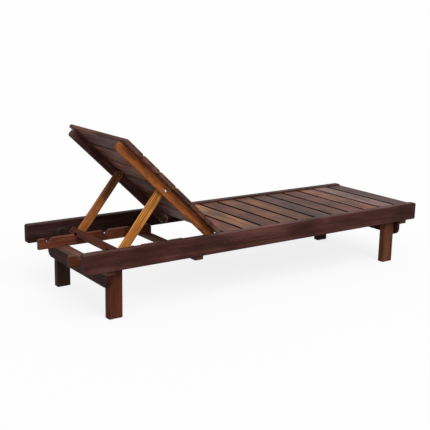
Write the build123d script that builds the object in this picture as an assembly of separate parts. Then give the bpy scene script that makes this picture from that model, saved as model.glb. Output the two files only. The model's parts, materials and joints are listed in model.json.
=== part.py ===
from build123d import *
import math
import os

# A wooden sun lounger: slatted seat, and a slatted backrest on a swinging prop.
# Millimetres. X runs from the head end to the foot end, Y across, Z up.
# The origin is on the floor under the middle of the side rails.
# The backrest is drawn raised, with the prop's bar over the second notch.

# Side rails
rail_length = 2000.0
rail_spread = 634.0             # outer face to outer face
rail_thickness = 36.0
rail_height = 89.0
rail_top = 318.0
rail_end_radius = 9.0
rail_edge_radius = 3.0

# Legs, bolted to the inner faces of the rails
leg_width = 68.0
leg_thickness = 38.0
leg_top_drop = 28.0             # from the rails' top edge to the legs' top
leg_corner_radius = 26.0
leg_edge_radius = 4.5
leg_foot_radius = 3.0
head_leg_inset = 132.0          # from the head end to the head legs
foot_leg_inset = 123.0          # from the foot end to the foot legs

# Aprons, screwed to the outward faces of the legs
apron_thickness = 20.0
apron_height = 80.0
apron_corner_radius = 35.0
apron_edge_radius = 2.0

# Cross battens, under the rails
cross_width = 45.0
cross_thickness = 20.0
cross_cover = 24.0              # how far the battens and aprons reach under each rail
cross_edge_radius = 1.5
head_cross_overhang = 3.0       # of the head batten, beyond the head apron
middle_cross_setback = 159.7    # from the middle batten's head side to the backrest's pivot
leg_slot_clearance = 0.5        # round the legs, in the head batten

# Ratchet boards, on the head and middle battens
ratchet_bearing = 40.0          # on the middle batten, along X
ratchet_thickness = 22.0
ratchet_height = 49.0
ratchet_edge_radius = 1.5
ratchet_corner_radius = 8.0     # of the teeth's upper corners
ratchet_foot_radius = 18.0      # of the upper corner at the foot end
ratchet_strut_gap = 18.0        # from a prop strut to the board beside it
notch_count = 4
notches_below_rest = 1
notch_pitch = 148.0
notch_depth = 25.0
notch_bottom_radius = 5.0
notch_head_side_angle = 62.0    # slope of the steep side, towards the head
notch_foot_side_angle = 47.0    # slope of the easy side, towards the foot
notch_lead = 6.0                # from the bar's lower edge to the notch bottom, along X

# Slats of the seat and of the backrest
slat_width = 106.0
slat_thickness = 18.0
slat_gap = 8.4
slat_edge_radius = 4.0
slat_top_drop = 8.0             # from the rails' top edge to the slats' top
seat_slat_count = 11
seat_slat_end_gap = 1.0         # from a seat slat's end to the rail
back_slat_count = 6
back_slat_end_gap = 9.0         # from a back slat's end to the rail

# Ledgers under the ends of the seat slats
ledger_width = 25.0
ledger_height = 30.0
ledger_edge_radius = 1.5
ledger_end_inset = 2.0          # from the first seat slat's edge
ledger_foot_inset = 8.0         # from the foot end
ledger_screw_count = 4

# Backrest
back_angle = 43.4               # above the horizontal, as drawn
back_batten_width = 40.0
back_batten_thickness = 22.0
back_end_radius = 12.0
back_slat_overhang = 3.0        # of the top slat, beyond the battens
back_pivot_setback = 30.3       # from the first seat slat's edge to the pivot

# Prop under the backrest
prop_pivot_distance = 380.0     # from the backrest's pivot, along the battens
prop_reach = 365.0              # from the prop's pivot to the bar's lower edge
strut_width = 38.0
strut_thickness = 22.0
strut_batten_gap = 2.0
strut_heel_radius = 12.0
crossbar_height = 36.0
crossbar_thickness = 20.0
crossbar_overlap = 17.0         # of the bar, beyond each strut's outer face
crossbar_edge_radius = 2.0
arm_edge_radius = 2.0           # of the back battens and the prop struts
crossbar_slat_clearance = 3.0   # from the top slat to the bar, with the backrest flat
crossbar_lift = 6.5             # of the bar's lower edge, over the notch bottom
bridge_rear_height = 8.0        # of the bar over a ratchet board, on its rear face
bridge_front_height = 23.0      # of the bar over a ratchet board, on its front face
bridge_side_clearance = 2.0     # from a ratchet board to the bar, on each side

# Bolts and nuts
leg_bolt_radius = 4.0
leg_bolt_head_radius = 6.5
leg_bolt_drop = 56.0            # from the rails' top edge
pivot_bolt_radius = 4.0
pivot_bolt_head_radius = 7.5
bolt_head_height = 3.5
bolt_head_round = 2.6
nut_height = 6.5
nut_rim = 4.0                   # from the bolt to the nut's corners, across the wall
nut_sides = 6
bolt_end = 1.5                  # of a pivot bolt, past its nut
bolt_hole_clearance = 0.25
pivot_clearance = 0.08          # round a bolt that something turns on
pivot_side_gap = 0.4            # beside a part that turns
leg_nut_clearance = 1.5         # from a leg's nut to the batten that passes it
sleeve_wall = 4.0
washer_radius = 9.0
washer_thickness = 1.5

# Wood screws
screw_radius = 2.2
screw_head_radius = 4.5
screw_head_height = 3.0
screw_clearance = 0.1
slat_bite = 12.0                # of a screw, in a slat
frame_bite = 25.0               # of a screw, in a rail, a leg or a strut
screw_edge_inset = 15.0
back_screw_depth = 14.0         # how deep a back slat's screw head is sunk
crossbar_screw_inset = 10.0

quarter_turn = 90.0
sides = {"right": -1, "left": 1}

# Lengthwise places
head_end = -rail_length / 2
foot_end = rail_length / 2
head_leg_start = head_end + head_leg_inset
foot_leg_start = foot_end - foot_leg_inset - leg_width
head_leg_middle = head_leg_start + leg_width / 2
foot_leg_middle = foot_leg_start + leg_width / 2
foot_leg_end = foot_leg_start + leg_width
slat_pitch = slat_width + slat_gap
seat_start = foot_end - seat_slat_count * slat_pitch + slat_gap
head_apron_start = head_leg_start - apron_thickness
head_cross_start = head_apron_start - head_cross_overhang
foot_cross_start = foot_leg_end + apron_thickness
pivot_x = seat_start - back_pivot_setback
middle_cross_from = pivot_x - middle_cross_setback
ratchet_end = middle_cross_from + ratchet_bearing

# Heights
rail_bottom = rail_top - rail_height
leg_top = rail_top - leg_top_drop
cross_bottom = rail_bottom - cross_thickness
apron_bottom = rail_bottom - apron_height
slat_top = rail_top - slat_top_drop
slat_bottom = slat_top - slat_thickness
ledger_bottom = slat_bottom - ledger_height
pivot_z = slat_bottom - back_batten_width / 2
ratchet_top = rail_bottom + ratchet_height
notch_bottom = ratchet_top - notch_depth
leg_bolt_z = rail_top - leg_bolt_drop

# Places across, from the outside in
rail_outer = rail_spread / 2
rail_inner = rail_outer - rail_thickness
leg_inner = rail_inner - leg_thickness
cross_half = rail_inner + cross_cover
ledger_inner = rail_inner - ledger_width
ledger_middle = rail_inner - ledger_width / 2
back_batten_outer = leg_inner - nut_height - leg_nut_clearance
back_batten_inner = back_batten_outer - back_batten_thickness
back_batten_middle = back_batten_outer - back_batten_thickness / 2
strut_outer = back_batten_inner - strut_batten_gap
strut_inner = strut_outer - strut_thickness
strut_middle = strut_outer - strut_thickness / 2
ratchet_outer = strut_inner - ratchet_strut_gap
ratchet_inner = ratchet_outer - ratchet_thickness
ratchet_middle = ratchet_outer - ratchet_thickness / 2
crossbar_half = strut_outer + crossbar_overlap

# Places on the backrest and on the prop, as distances from their pivots
crossbar_top = prop_reach - crossbar_height
back_slat_end = prop_pivot_distance + crossbar_top - crossbar_slat_clearance
back_length = back_slat_end - back_slat_overhang
back_half_width = back_batten_width / 2
strut_half_width = strut_width / 2
crossbar_front = strut_half_width + crossbar_thickness

# Where the prop stands, as drawn: its slope brings the bar down to the notch
back_slope = math.radians(back_angle)
prop_pivot_x = pivot_x - prop_pivot_distance * math.cos(back_slope)
prop_pivot_z = pivot_z + prop_pivot_distance * math.sin(back_slope)
prop_drop = prop_pivot_z - notch_bottom - crossbar_lift
bar_edge_slant = math.atan2(strut_half_width, prop_reach)
prop_slope = bar_edge_slant + math.asin(prop_drop / math.hypot(prop_reach, strut_half_width))
bar_edge_x = prop_pivot_x - prop_reach * math.cos(prop_slope) - strut_half_width * math.sin(prop_slope)
rest_notch_x = bar_edge_x - notch_lead
first_notch_x = rest_notch_x - notches_below_rest * notch_pitch
notch_head_run = notch_depth / math.tan(math.radians(notch_head_side_angle))
notch_foot_run = notch_depth / math.tan(math.radians(notch_foot_side_angle))

BASE = (Align.CENTER, Align.CENTER, Align.MIN)
CORNER = (Align.MIN, Align.MIN, Align.MIN)
back_place = Pos(pivot_x, 0, pivot_z) * Rot(0, back_angle, 0)
prop_place = Pos(prop_pivot_x, 0, prop_pivot_z) * Rot(0, -math.degrees(prop_slope), 0)


def board(x_span, y_span, z_span):
    """A plain board between two places along each axis, given in either order."""
    lows = [min(span) for span in (x_span, y_span, z_span)]
    lengths = [max(span) - min(span) for span in (x_span, y_span, z_span)]
    return Pos(*lows) * Box(*lengths, align=CORNER)


def eased(piece, axis, radius):
    """The piece with all its edges along one axis rounded."""
    return fillet(piece.edges().filter_by(axis), radius)


def across(side, y_from, y_to):
    """A span across the lounger, on one side of its middle."""
    return (side * y_from, side * y_to)


def both(half_width):
    """A span across the whole lounger."""
    return (-half_width, half_width)


# Fasteners: each is drawn along +Z, from the surface that its head bears on

def wood_screw(length):
    """A screw with its head flush with the surface."""
    head = Cylinder(screw_head_radius, screw_head_height, align=BASE)
    return head + Cylinder(screw_radius, length, align=BASE)


def screw_hole(length):
    """The stepped hole that a wood screw sits in."""
    head = Cylinder(screw_head_radius + screw_clearance, screw_head_height, align=BASE)
    return head + Cylinder(screw_radius + screw_clearance, length + screw_clearance, align=BASE)


def dome_bolt(radius, head_radius, length):
    """A bolt with its domed head outside the surface."""
    head = Pos(0, 0, -bolt_head_height) * Cylinder(head_radius, bolt_head_height, align=BASE)
    rim = head.edges().sort_by(Axis.Z)[0]
    return fillet(rim, bolt_head_round) + Cylinder(radius, length, align=BASE)


def nut(radius):
    """A hexagon nut that stands on the surface."""
    body = extrude(RegularPolygon(radius + nut_rim, nut_sides), nut_height)
    return body - Cylinder(radius + pivot_clearance, nut_height, align=BASE)


def ring(outer_radius, inner_radius, length):
    """A washer or a sleeve."""
    body = Cylinder(outer_radius, length, align=BASE)
    return body - Cylinder(inner_radius, length, align=BASE)


def inward(side, x, y, z):
    """A place on one side, pointing towards the middle of the lounger."""
    return Pos(x, side * y, z) * Rot(side * quarter_turn, 0, 0)


def outward(side, x, y, z):
    """A place on one side, pointing away from the middle of the lounger."""
    return Pos(x, side * y, z) * Rot(-side * quarter_turn, 0, 0)


def cut(piece, places, tool):
    """The piece with the same hole cut at each place."""
    for place in places:
        piece = piece - place * tool
    return piece


# Where the screws and bolts go

def leg_bolt_places(side):
    return [inward(side, x, rail_outer, leg_bolt_z) for x in (head_leg_middle, foot_leg_middle)]


def back_pivot_place(side):
    return inward(side, pivot_x, rail_outer, pivot_z)


def cross_screw_xs():
    """Along X, clear of the head apron under the head batten."""
    head_x = (head_leg_start + head_cross_start + cross_width) / 2
    return [head_x, middle_cross_from + cross_width / 2, foot_cross_start + cross_width / 2]


def cross_screw_places(side):
    middle = side * (rail_inner + cross_half) / 2
    return [Pos(x, middle, cross_bottom) for x in cross_screw_xs()]


def ratchet_screw_places(side):
    return [Pos(x, side * ratchet_middle, cross_bottom) for x in cross_screw_xs()[:2]]


def apron_screw_heights():
    return [apron_bottom + screw_edge_inset, cross_bottom - screw_edge_inset]


def head_apron_screw_places():
    middle = (rail_inner + leg_inner) / 2
    turn = Rot(0, quarter_turn, 0)
    return [Pos(head_apron_start, side * middle, z) * turn
            for side in sides.values() for z in apron_screw_heights()]


def foot_apron_screw_places():
    middle = (rail_inner + leg_inner) / 2
    turn = Rot(0, -quarter_turn, 0)
    return [Pos(foot_cross_start, side * middle, z) * turn
            for side in sides.values() for z in apron_screw_heights()]


def slat_start(number):
    """Where a seat slat begins; the first slat is number 0."""
    return seat_start + number * slat_pitch


def seat_screw_x(number):
    """The slat's middle, or the nearest place beside the leg where a leg stands under the middle."""
    middle = slat_start(number) + slat_width / 2
    if foot_leg_start - screw_head_radius < middle < foot_leg_end + screw_head_radius:
        beside = (foot_leg_start - screw_edge_inset, foot_leg_end + screw_edge_inset)
        return min(beside, key=lambda x: abs(x - middle))
    return middle


def seat_screw_places(side):
    return [Pos(seat_screw_x(number), side * ledger_middle, ledger_bottom)
            for number in range(seat_slat_count)]


def ledger_spans():
    """The long ledger before the foot leg and the short one beyond it."""
    long_span = (seat_start + ledger_end_inset, foot_leg_start)
    short_span = (foot_leg_end, foot_end - ledger_foot_inset)
    return [long_span, short_span]


def ledger_screw_places(side):
    """Through a ledger into the rail, clear of the slat screws."""
    (long_from, long_to), (short_from, short_to) = ledger_spans()
    step = (long_to - long_from) / ledger_screw_count
    xs = [long_from + step * (number + 1) - screw_edge_inset * 2 for number in range(ledger_screw_count)]
    xs.append(short_to - screw_edge_inset)
    middle = (slat_bottom + ledger_bottom) / 2
    return [outward(side, x, ledger_inner, middle) for x in xs]


def back_slat_start(number):
    """The upper edge of a back slat, from the pivot; the top slat is number 0."""
    return back_slat_end - number * slat_pitch


def back_screw_reach(number):
    """From the pivot to the slat's middle, or clear of the prop's bolt where that lies under it."""
    middle = back_slat_start(number) - slat_width / 2
    clear = pivot_bolt_radius + screw_head_radius + screw_edge_inset
    offset = middle - prop_pivot_distance
    if abs(offset) < clear:
        return prop_pivot_distance + math.copysign(clear, offset)
    return middle


def back_screw_places(side):
    """On the battens' lower edges, drawn flat."""
    return [Pos(-back_screw_reach(number), side * back_batten_middle, -back_half_width)
            for number in range(back_slat_count)]


def crossbar_screw_places(side):
    """On the bar's front face, drawn flat."""
    turn = Rot(2 * quarter_turn, 0, 0)
    reaches = (crossbar_top + crossbar_screw_inset, prop_reach - crossbar_screw_inset)
    return [Pos(-reach, side * strut_middle, crossbar_front) * turn for reach in reaches]


# Frame

def side_rail(side):
    rail = board((head_end, foot_end), across(side, rail_inner, rail_outer), (rail_bottom, rail_top))
    rail = eased(rail, Axis.Y, rail_end_radius)
    outlines = rail.faces().filter_by(Axis.Y).edges()
    rail = fillet(outlines, rail_edge_radius)
    bolt_hole = Cylinder(leg_bolt_radius + bolt_hole_clearance, rail_thickness, align=BASE)
    rail = cut(rail, leg_bolt_places(side), bolt_hole)
    pivot_hole = Cylinder(pivot_bolt_radius + bolt_hole_clearance, rail_thickness, align=BASE)
    rail = rail - back_pivot_place(side) * pivot_hole
    rail = cut(rail, cross_screw_places(side), screw_hole(cross_thickness + frame_bite))
    return cut(rail, ledger_screw_places(side), screw_hole(ledger_width + frame_bite))


def leg(side, start, apron_screws):
    body = board((start, start + leg_width), across(side, leg_inner, rail_inner), (0, leg_top))
    top_corners = body.edges().filter_by(Axis.Y).group_by(Axis.Z)[-1]
    body = fillet(top_corners, leg_corner_radius)
    body = eased(body, Axis.Z, leg_edge_radius)
    foot_outline = body.faces().sort_by(Axis.Z)[0].edges()
    body = fillet(foot_outline, leg_foot_radius)
    hole_length = rail_thickness + leg_thickness
    bolt_hole = Cylinder(leg_bolt_radius + bolt_hole_clearance, hole_length, align=BASE)
    body = cut(body, leg_bolt_places(side), bolt_hole)
    return cut(body, apron_screws, screw_hole(apron_thickness + frame_bite))


def apron(start, top, screws):
    plate = board((start, start + apron_thickness), both(cross_half), (apron_bottom, top))
    lower_corners = plate.edges().filter_by(Axis.X).group_by(Axis.Z)[0]
    plate = fillet(lower_corners, apron_corner_radius)
    lower_outline = [edge for edge in plate.edges() if edge.center().Z < top and not edge_runs_along_x(edge)]
    plate = fillet(lower_outline, apron_edge_radius)
    return cut(plate, screws, screw_hole(apron_thickness + frame_bite))


def edge_runs_along_x(edge):
    return edge.geom_type == GeomType.LINE and abs(edge.tangent_at(0).X) > abs(edge.tangent_at(0).Z)


def cross_batten(start, holds_ratchets):
    plank = board((start, start + cross_width), both(cross_half), (cross_bottom, rail_bottom))
    plank = eased(plank, Axis.Y, cross_edge_radius)
    for side in sides.values():
        plank = cut(plank, cross_screw_places(side), screw_hole(cross_thickness + frame_bite))
        if holds_ratchets:
            plank = cut(plank, ratchet_screw_places(side), screw_hole(cross_thickness + slat_bite))
    return plank


def head_cross_batten():
    """The batten on the head apron, slotted to pass the legs."""
    plank = cross_batten(head_cross_start, True)
    slot_from = head_leg_start - leg_slot_clearance
    slot_to = head_cross_start + cross_width + leg_slot_clearance
    for side in sides.values():
        slot_span = across(side, leg_inner - leg_slot_clearance, rail_inner)
        plank = plank - board((slot_from, slot_to), slot_span, (cross_bottom, rail_bottom))
    return plank


def notch_places():
    """Along X, the bottom of each notch that lies wholly on the board, clear of its rounded ends."""
    places = [first_notch_x + number * notch_pitch for number in range(notch_count)]
    head_limit = head_end + ratchet_corner_radius + ratchet_corner_radius
    foot_limit = ratchet_end - ratchet_foot_radius - ratchet_corner_radius
    return [x for x in places if x - notch_head_run > head_limit and x + notch_foot_run < foot_limit]


def notch_corners(x):
    """The outline's corners round one notch, from the head side to the foot side."""
    return [(x - notch_head_run, ratchet_top), (x, notch_bottom), (x + notch_foot_run, ratchet_top)]


def ratchet_outline(y):
    """The ratchet board's side face, with its corners and notches rounded."""
    corners = [(head_end, rail_bottom), (head_end, ratchet_top)]
    for x in notch_places():
        corners += notch_corners(x)
    corners += [(ratchet_end, ratchet_top), (ratchet_end, rail_bottom)]
    face = make_face(Polyline(*[(x, y, z) for x, z in corners], close=True))
    teeth = top_corners(face)[:-1]
    face = fillet(teeth, ratchet_corner_radius)
    face = fillet(top_corners(face)[-1], ratchet_foot_radius)
    if not notch_places():
        return face
    bottoms = face.vertices().group_by(Axis.Z)[1]
    return fillet(bottoms, notch_bottom_radius)


def top_corners(face):
    """The corners on the top edge, from the head end to the foot end."""
    return face.vertices().group_by(Axis.Z)[-1].sort_by(Axis.X)


def ratchet_board(side):
    y = min(across(side, ratchet_inner, ratchet_outer))
    plate = extrude(ratchet_outline(y), amount=ratchet_thickness, dir=(0, 1, 0))
    outlines = plate.faces().filter_by(Axis.Y).edges()
    plate = fillet(outlines, ratchet_edge_radius)
    return cut(plate, ratchet_screw_places(side), screw_hole(cross_thickness + slat_bite))


def seat_ledger(side, span):
    strip = board(span, across(side, ledger_inner, rail_inner), (ledger_bottom, slat_bottom))
    strip = eased(strip, Axis.X, ledger_edge_radius)
    strip = cut(strip, seat_screw_places(side), screw_hole(ledger_height + slat_bite))
    return cut(strip, ledger_screw_places(side), screw_hole(ledger_width + frame_bite))


def seat_slat(number):
    start = slat_start(number)
    half = rail_inner - seat_slat_end_gap
    slat = board((start, start + slat_width), both(half), (slat_bottom, slat_top))
    slat = eased(slat, Axis.Y, slat_edge_radius)
    for side in sides.values():
        places = [seat_screw_places(side)[number]]
        slat = cut(slat, places, screw_hole(ledger_height + slat_bite))
    return slat


# Backrest and prop, each drawn flat, from its pivot towards the head end

def arm(side, y_from, y_to, reach, half_width):
    """A straight batten with a round end about its pivot."""
    body = board((-reach, 0), across(side, y_from, y_to), both(half_width))
    thickness = abs(y_to - y_from)
    middle = side * (y_from + y_to) / 2
    round_end = Pos(0, middle, 0) * Rot(quarter_turn, 0, 0) * Cylinder(half_width, thickness)
    return body + round_end


def bored(body, x, radius):
    """The body with a hole right through it along Y."""
    hole = Pos(x, 0, 0) * Rot(quarter_turn, 0, 0) * Cylinder(radius, rail_spread)
    return body - hole


def softened(body):
    """The body with the outlines of its two side faces rounded."""
    outlines = body.faces().filter_by(Axis.Y).edges()
    return fillet(outlines, arm_edge_radius)


def back_batten(side):
    body = arm(side, back_batten_inner, back_batten_outer, back_length, back_half_width)
    far_corners = body.edges().filter_by(Axis.Y).group_by(Axis.X)[0]
    body = softened(fillet(far_corners, back_end_radius))
    body = bored(body, 0, pivot_bolt_radius + pivot_clearance)
    body = bored(body, -prop_pivot_distance, pivot_bolt_radius + bolt_hole_clearance)
    sink = Cylinder(screw_head_radius + screw_clearance, back_screw_depth, align=BASE)
    body = cut(body, back_screw_places(side), sink)
    deep = [place * Pos(0, 0, back_screw_depth) for place in back_screw_places(side)]
    return back_place * cut(body, deep, screw_hole(back_screw_length()))


def back_screw_length():
    return back_batten_width - back_screw_depth + slat_bite


def back_slat(number):
    start = back_slat_start(number)
    half = rail_inner - back_slat_end_gap
    slat = board((-start, slat_width - start), both(half), (back_half_width, back_half_width + slat_thickness))
    slat = eased(slat, Axis.Y, slat_edge_radius)
    for side in sides.values():
        deep = [back_screw_places(side)[number] * Pos(0, 0, back_screw_depth)]
        slat = cut(slat, deep, screw_hole(back_screw_length()))
    return back_place * slat


def prop_strut(side):
    body = arm(side, strut_inner, strut_outer, prop_reach, strut_half_width)
    heel = body.edges().filter_by(Axis.Y).group_by(Axis.X)[0].sort_by(Axis.Z)[0]
    body = softened(fillet(heel, strut_heel_radius))
    body = bored(body, 0, pivot_bolt_radius + pivot_clearance)
    return prop_place * cut(body, crossbar_screw_places(side), screw_hole(crossbar_thickness + frame_bite))


def bridge_wedge(side):
    """What is cut from the bar's lower edge so that it passes over a ratchet board."""
    y_low = min(across(side, ratchet_inner, ratchet_outer)) - bridge_side_clearance
    rear = (-crossbar_top - bridge_rear_height, y_low, strut_half_width)
    front = (-crossbar_top - bridge_front_height, y_low, crossbar_front)
    front_foot = (-prop_reach, y_low, crossbar_front)
    rear_foot = (-prop_reach, y_low, strut_half_width)
    outline = Polyline(rear, front, front_foot, rear_foot, close=True)
    width = ratchet_thickness + 2 * bridge_side_clearance
    return extrude(make_face(outline), amount=width, dir=(0, 1, 0))


def prop_crossbar():
    bar = board((-prop_reach, -crossbar_top), both(crossbar_half), (strut_half_width, crossbar_front))
    bar = eased(bar, Axis.Y, crossbar_edge_radius)
    for side in sides.values():
        bar = bar - bridge_wedge(side)
        bar = cut(bar, crossbar_screw_places(side), screw_hole(crossbar_thickness + frame_bite))
    return prop_place * bar


# Hardware

def leg_bolts():
    length = rail_thickness + leg_thickness + nut_height
    bolt = dome_bolt(leg_bolt_radius, leg_bolt_head_radius, length)
    return [place * bolt for side in sides.values() for place in leg_bolt_places(side)]


def leg_nuts():
    xs = (head_leg_middle, foot_leg_middle)
    places = [inward(side, x, leg_inner, leg_bolt_z) for side in sides.values() for x in xs]
    return [place * nut(leg_bolt_radius) for place in places]


def back_pivot_bolts():
    reach = back_batten_inner - pivot_side_gap - washer_thickness - nut_height - bolt_end
    bolt = dome_bolt(pivot_bolt_radius, pivot_bolt_head_radius, rail_outer - reach)
    return [back_pivot_place(side) * bolt for side in sides.values()]


def back_pivot_sleeves():
    length = rail_inner - back_batten_outer - pivot_side_gap
    outer_radius = pivot_bolt_radius + sleeve_wall
    sleeve = ring(outer_radius, pivot_bolt_radius + pivot_clearance, length)
    return [inward(side, pivot_x, rail_inner, pivot_z) * sleeve for side in sides.values()]


def back_pivot_nuts():
    """A washer and a nut on each pivot bolt's inner end."""
    start = back_batten_inner - pivot_side_gap
    washer = ring(washer_radius, pivot_bolt_radius + pivot_clearance, washer_thickness)
    pair = washer + Pos(0, 0, washer_thickness) * nut(pivot_bolt_radius)
    return [inward(side, pivot_x, start, pivot_z) * pair for side in sides.values()]


def prop_pivot_bolts():
    reach = strut_inner - pivot_side_gap - nut_height - bolt_end
    bolt = dome_bolt(pivot_bolt_radius, pivot_bolt_head_radius, back_batten_outer - reach)
    places = [inward(side, -prop_pivot_distance, back_batten_outer, 0) for side in sides.values()]
    return [back_place * place * bolt for place in places]


def prop_pivot_washers():
    """Between each back batten and its strut, seated on the batten."""
    thickness = strut_batten_gap - pivot_side_gap
    washer = ring(washer_radius, pivot_bolt_radius + pivot_clearance, thickness)
    places = [inward(side, -prop_pivot_distance, back_batten_inner, 0) for side in sides.values()]
    return [back_place * place * washer for place in places]


def prop_pivot_nuts():
    start = strut_inner - pivot_side_gap
    places = [inward(side, -prop_pivot_distance, start, 0) for side in sides.values()]
    return [back_place * place * nut(pivot_bolt_radius) for place in places]


def screws(places_on_side, length):
    """The same screw at each place of both sides."""
    screw = wood_screw(length)
    return [place * screw for side in sides.values() for place in places_on_side(side)]


def apron_screws():
    screw = wood_screw(apron_thickness + frame_bite)
    return [place * screw for place in head_apron_screw_places() + foot_apron_screw_places()]


def back_slat_screws():
    """Driven up from inside the battens' lower edges."""
    screw = Pos(0, 0, back_screw_depth) * wood_screw(back_screw_length())
    return [back_place * place * screw for side in sides.values() for place in back_screw_places(side)]


def crossbar_screws():
    screw = wood_screw(crossbar_thickness + frame_bite)
    return [prop_place * place * screw
            for side in sides.values() for place in crossbar_screw_places(side)]


# The named pieces

def frame_pieces():
    pieces = {}
    long_ledger, short_ledger = ledger_spans()
    for name, side in sides.items():
        pieces[f"{name}_side_rail"] = side_rail(side)
        pieces[f"{name}_head_leg"] = leg(side, head_leg_start, head_apron_screw_places())
        pieces[f"{name}_foot_leg"] = leg(side, foot_leg_start, foot_apron_screw_places())
        pieces[f"{name}_ratchet_board"] = ratchet_board(side)
        pieces[f"{name}_seat_ledger"] = seat_ledger(side, long_ledger)
        pieces[f"{name}_foot_ledger"] = seat_ledger(side, short_ledger)
    pieces["head_apron"] = apron(head_apron_start, cross_bottom, head_apron_screw_places())
    pieces["foot_apron"] = apron(foot_leg_end, rail_bottom, foot_apron_screw_places())
    pieces["head_cross_batten"] = head_cross_batten()
    pieces["middle_cross_batten"] = cross_batten(middle_cross_from, True)
    pieces["foot_cross_batten"] = cross_batten(foot_cross_start, False)
    for number in range(seat_slat_count):
        pieces[f"seat_slat_{number + 1:02d}"] = seat_slat(number)
    return pieces


def moving_pieces():
    pieces = {}
    for name, side in sides.items():
        pieces[f"{name}_back_batten"] = back_batten(side)
        pieces[f"{name}_prop_strut"] = prop_strut(side)
    for number in range(back_slat_count):
        pieces[f"back_slat_{number + 1}"] = back_slat(number)
    pieces["prop_crossbar"] = prop_crossbar()
    return pieces


def hardware_pieces():
    groups = {
        "leg_bolts": leg_bolts(),
        "leg_nuts": leg_nuts(),
        "apron_screws": apron_screws(),
        "cross_batten_screws": screws(cross_screw_places, cross_thickness + frame_bite),
        "ratchet_screws": screws(ratchet_screw_places, cross_thickness + slat_bite),
        "ledger_screws": screws(ledger_screw_places, ledger_width + frame_bite),
        "seat_slat_screws": screws(seat_screw_places, ledger_height + slat_bite),
        "back_slat_screws": back_slat_screws(),
        "crossbar_screws": crossbar_screws(),
        "back_pivot_bolts": back_pivot_bolts(),
        "back_pivot_sleeves": back_pivot_sleeves(),
        "back_pivot_nuts": back_pivot_nuts(),
        "prop_pivot_bolts": prop_pivot_bolts(),
        "prop_pivot_washers": prop_pivot_washers(),
        "prop_pivot_nuts": prop_pivot_nuts(),
    }
    return {name: Compound(children=solids) for name, solids in groups.items()}


def main():
    os.makedirs("parts", exist_ok=True)
    pieces = {**frame_pieces(), **moving_pieces(), **hardware_pieces()}
    for name, piece in pieces.items():
        export_step(piece, f"parts/{name}.step")


main()
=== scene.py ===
"""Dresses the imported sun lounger: oiled hardwood planks, detailed fasteners, and a white studio."""
import json
import math
import random

import bmesh
import bpy
from bpy.props import FloatProperty, FloatVectorProperty, PointerProperty
from mathutils import Euler, Matrix, Vector


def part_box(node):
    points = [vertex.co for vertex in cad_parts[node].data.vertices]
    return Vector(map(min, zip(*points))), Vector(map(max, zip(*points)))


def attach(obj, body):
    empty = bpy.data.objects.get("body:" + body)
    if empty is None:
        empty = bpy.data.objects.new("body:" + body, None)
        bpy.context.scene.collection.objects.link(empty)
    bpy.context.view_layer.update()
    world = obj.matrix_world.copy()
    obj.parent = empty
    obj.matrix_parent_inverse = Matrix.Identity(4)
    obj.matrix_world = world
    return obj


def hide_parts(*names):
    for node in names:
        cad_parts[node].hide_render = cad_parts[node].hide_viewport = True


bl_info = {
    "name": "Sun Lounger Finish",
    "version": (1, 0, 0),
    "blender": (4, 5, 0),
    "location": "View3D > Sidebar > Lounger",
    "description": "Wood, hardware and studio for the slatted sun lounger",
    "category": "Object",
}

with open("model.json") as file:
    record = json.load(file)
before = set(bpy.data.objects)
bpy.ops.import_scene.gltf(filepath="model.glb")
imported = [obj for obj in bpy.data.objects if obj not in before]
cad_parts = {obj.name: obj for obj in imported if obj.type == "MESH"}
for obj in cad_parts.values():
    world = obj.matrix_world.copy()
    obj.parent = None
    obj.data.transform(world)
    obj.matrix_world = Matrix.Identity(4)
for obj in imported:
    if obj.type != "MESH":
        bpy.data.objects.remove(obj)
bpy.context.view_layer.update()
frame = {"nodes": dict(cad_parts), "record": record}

BACK_SLOPE = math.radians(43.4)
PROP_SLOPE = math.radians(51.45)
QUARTER_TURN = math.pi / 2
ORIGIN = (0.0, 0.0, 0.0)
SIDES = ("right", "left")

# How each run of grain lies, as the turn that brings it onto X
ALONG_RAILS = (0.0, 0.0, 0.0)
ACROSS = (0.0, 0.0, QUARTER_TURN)
UPRIGHT = (0.0, QUARTER_TURN, 0.0)
ALONG_BACK = (0.0, -BACK_SLOPE, 0.0)
ACROSS_BACK = (0.0, -BACK_SLOPE, QUARTER_TURN)
ALONG_PROP = (0.0, PROP_SLOPE, 0.0)
ACROSS_PROP = (0.0, PROP_SLOPE, QUARTER_TURN)

# A plank's place in the tree, in metres from the pith, and how far the ring widths differ
PITH_ALONG = 9.0
PITH_ASIDE = 0.05
PITH_DEPTH = (0.05, 0.11)
RING_SPREAD = (0.8, 1.3)

# The growth rings: how far they bend sideways and up, their taper along the trunk, where the
# dark late wood starts in each, and their share of the figure
BEND = (0.030, 0.022)
TAPER = 0.012
LATE_WOOD = 0.85
RING_SHARE = 0.28

# The grain's noises: fineness along and across the grain, per metre, detail, roughness, and
# the two values between which those that are masks rise
GRAIN_NOISES = {
    "Streaks": (1.1, 46.0, 4.0, 0.60, None),
    "Pores": (26.0, 900.0, 2.0, 0.70, (0.60, 0.72)),
    "Fibre": (14.0, 420.0, 3.0, 0.65, None),
    "Blush": (3.5, 16.0, 2.0, 0.50, (0.42, 0.68)),
    "Veins": (4.0, 150.0, 2.0, 0.55, (0.52, 0.66)),
    "Mottle": (5.0, 11.0, 2.0, 0.55, (0.32, 0.68)),
}

# A plank's figure: its reach from the middle tone to plain dark or light wood, the dark wood's
# warmth and what a golden plank adds to it, and how much farther the light wood goes
FIGURE_REACH = 0.22
DARK_WARMTH = 1.04
GOLDEN_WARMTH = 0.12
LIGHT_LIFT = 1.25

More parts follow.
